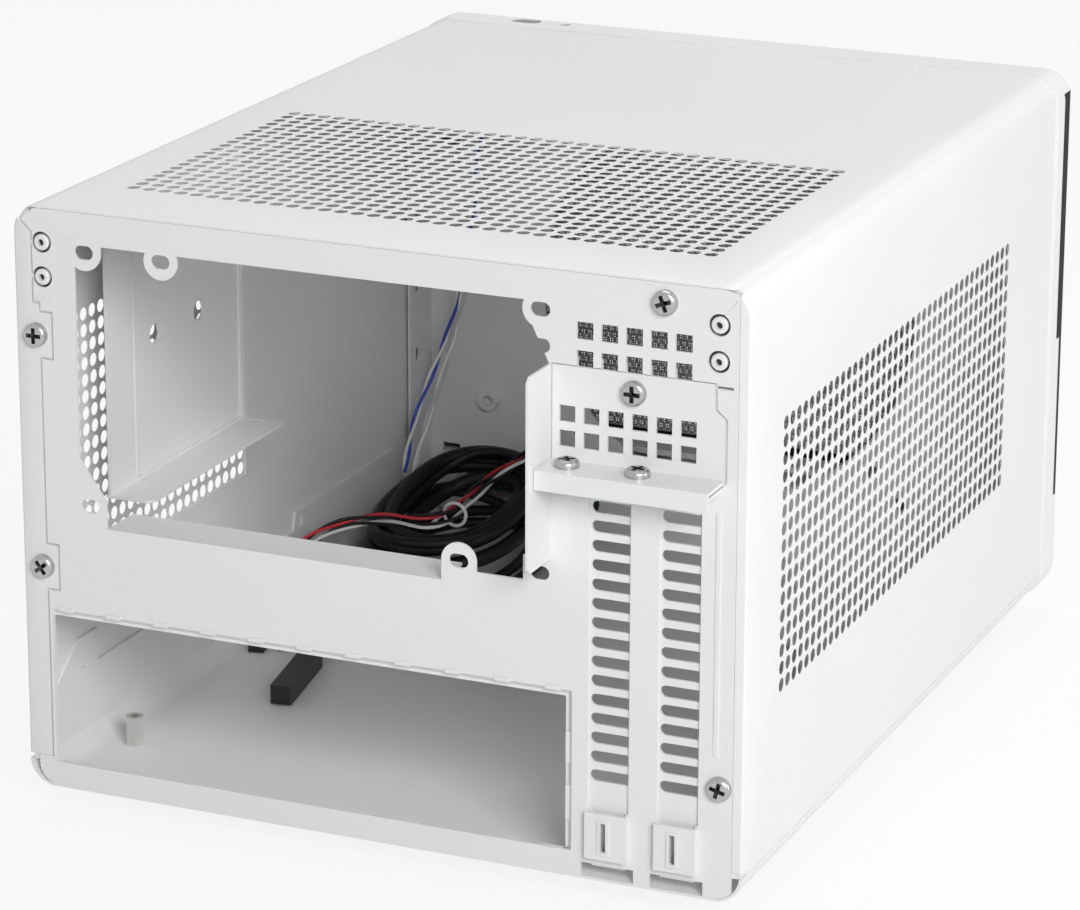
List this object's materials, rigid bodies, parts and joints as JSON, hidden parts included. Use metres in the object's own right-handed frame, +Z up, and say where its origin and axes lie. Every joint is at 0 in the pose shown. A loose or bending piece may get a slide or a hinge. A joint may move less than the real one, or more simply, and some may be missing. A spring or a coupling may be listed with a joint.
{
  "type": "mini-itx computer case",
  "caption": "Compact white steel computer case with vented folded cover, power supply opening, card slots, mesh front and sprung front buttons.",
  "frame": {"origin": "under the middle of the outline, level with the soles of the feet", "axes": "-Y is the front with the mesh and buttons, +Y the rear with the openings, +Z up"},
  "size_m": [0.222, 0.3004, 0.1815],
  "materials": {
    "white_steel": "fine textured powder coat",
    "white_plastic": "satin",
    "black_mesh": "satin black",
    "grey_plastic": "satin",
    "circuit_board": "solder mask",
    "plated_steel": "bright plating",
    "black_plastic": "matt",
    "clear_plastic": "clear",
    "black_rubber": "matt",
    "brass": "machined",
    "black_sheath": "matt",
    "blue_sheath": "satin",
    "grey_sheath": "satin",
    "red_sheath": "satin",
    "white_nylon": "satin"
  },
  "bodies": {
    "case": {"base_tray": "white_steel", "rear_panel": "white_steel", "front_wall": "white_steel", "rail_left": "white_steel", "rail_right": "white_steel", "psu_bracket": "white_steel", "outer_cover": "white_steel", "slot_clamp": "white_steel", "slot_cover_1": "white_steel", "slot_cover_2": "white_steel", "rivets": "white_steel", "front_bezel": "white_plastic", "front_mesh": "black_mesh", "switch_board": "circuit_board", "front_io_board": "circuit_board", "usb_port_1": "plated_steel", "usb_port_2": "plated_steel", "cover_screws": "plated_steel", "clamp_screw": "plated_steel", "slot_screws": "plated_steel", "headphone_jack": "black_plastic", "microphone_jack": "black_plastic", "usb_plug": "black_plastic", "audio_plug": "black_plastic", "blue_plug": "black_plastic", "grey_plug": "black_plastic", "red_plug": "black_plastic", "black_plug": "black_plastic", "power_led": "clear_plastic", "drive_led": "clear_plastic", "foot_rear_left": "black_rubber", "foot_rear_right": "black_rubber", "foot_front_left": "black_rubber", "foot_front_right": "black_rubber", "standoffs": "brass", "cable_coil": "black_sheath", "usb_cable": "black_sheath", "usb_tail": "black_sheath", "audio_cable": "black_sheath", "audio_tail": "black_sheath", "black_lead": "black_sheath", "blue_lead": "blue_sheath", "grey_lead": "grey_sheath", "red_lead": "red_sheath", "cable_tie": "white_nylon"},
    "power_button": {"power_button": "grey_plastic"},
    "reset_button": {"reset_button": "grey_plastic"}
  },
  "joints": [
    {"name": "power_press", "type": "slide", "parent": "case", "child": "power_button", "axis": [0, 0, -1], "range_m": [0, 0.0012], "stiffness_N_per_m": 300},
    {"name": "reset_press", "type": "slide", "parent": "case", "child": "reset_button", "axis": [0, 0, -1], "range_m": [0, 0.0012], "stiffness_N_per_m": 300}
  ]
}
